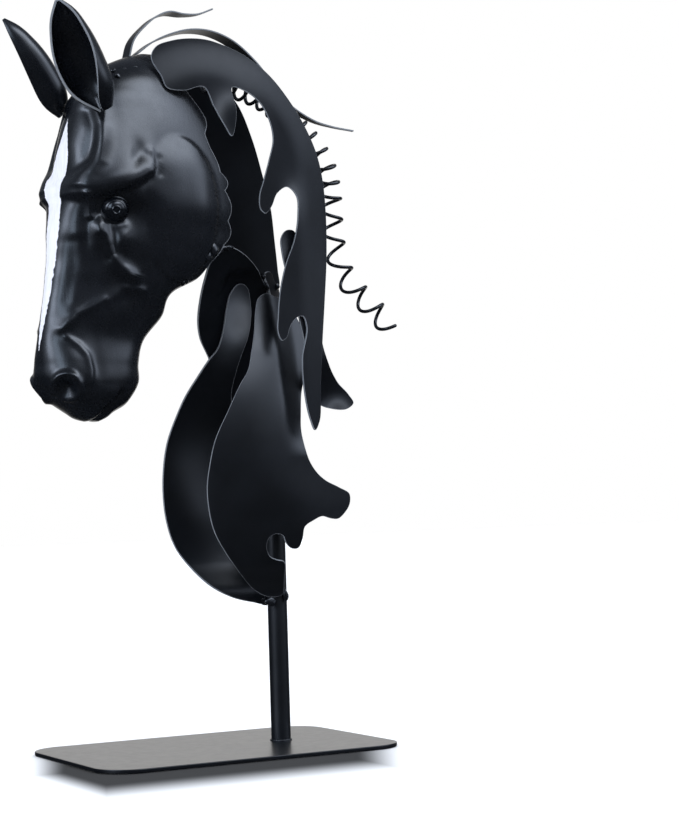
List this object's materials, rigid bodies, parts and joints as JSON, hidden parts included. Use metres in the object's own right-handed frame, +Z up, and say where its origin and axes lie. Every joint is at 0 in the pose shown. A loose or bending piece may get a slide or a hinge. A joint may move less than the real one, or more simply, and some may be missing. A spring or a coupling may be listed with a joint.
{
  "type": "horse head sculpture",
  "caption": "Desk sculpture of a horse's head and neck, made of curved cut sheet steel with a coiled wire mane, on a round rod and a flat base plate.",
  "frame": {"origin": "middle of the base plate's underside", "axes": "the horse looks along -X, its left side is to -Y, +Z is up"},
  "size_m": [0.2147, 0.112, 0.3759],
  "materials": {
    "satin_black_paint": "satin powder coat",
    "glossy_black_paint": "satin to glossy paint, with a white blaze on the face",
    "black_wire_paint": "satin paint"
  },
  "bodies": {
    "root": {"base_plate": "satin_black_paint", "post": "satin_black_paint", "left_chest_plate": "satin_black_paint", "right_chest_plate": "satin_black_paint", "throat_plate": "satin_black_paint", "neck_plate": "satin_black_paint", "neck_tab": "satin_black_paint", "left_mane_plate": "satin_black_paint", "right_mane_lock": "satin_black_paint", "crest_ribbon": "satin_black_paint", "forelock_ribbon": "satin_black_paint", "mane_spring": "black_wire_paint", "head_shell": "glossy_black_paint", "left_ear": "glossy_black_paint", "right_ear": "glossy_black_paint"}
  },
  "joints": []
}
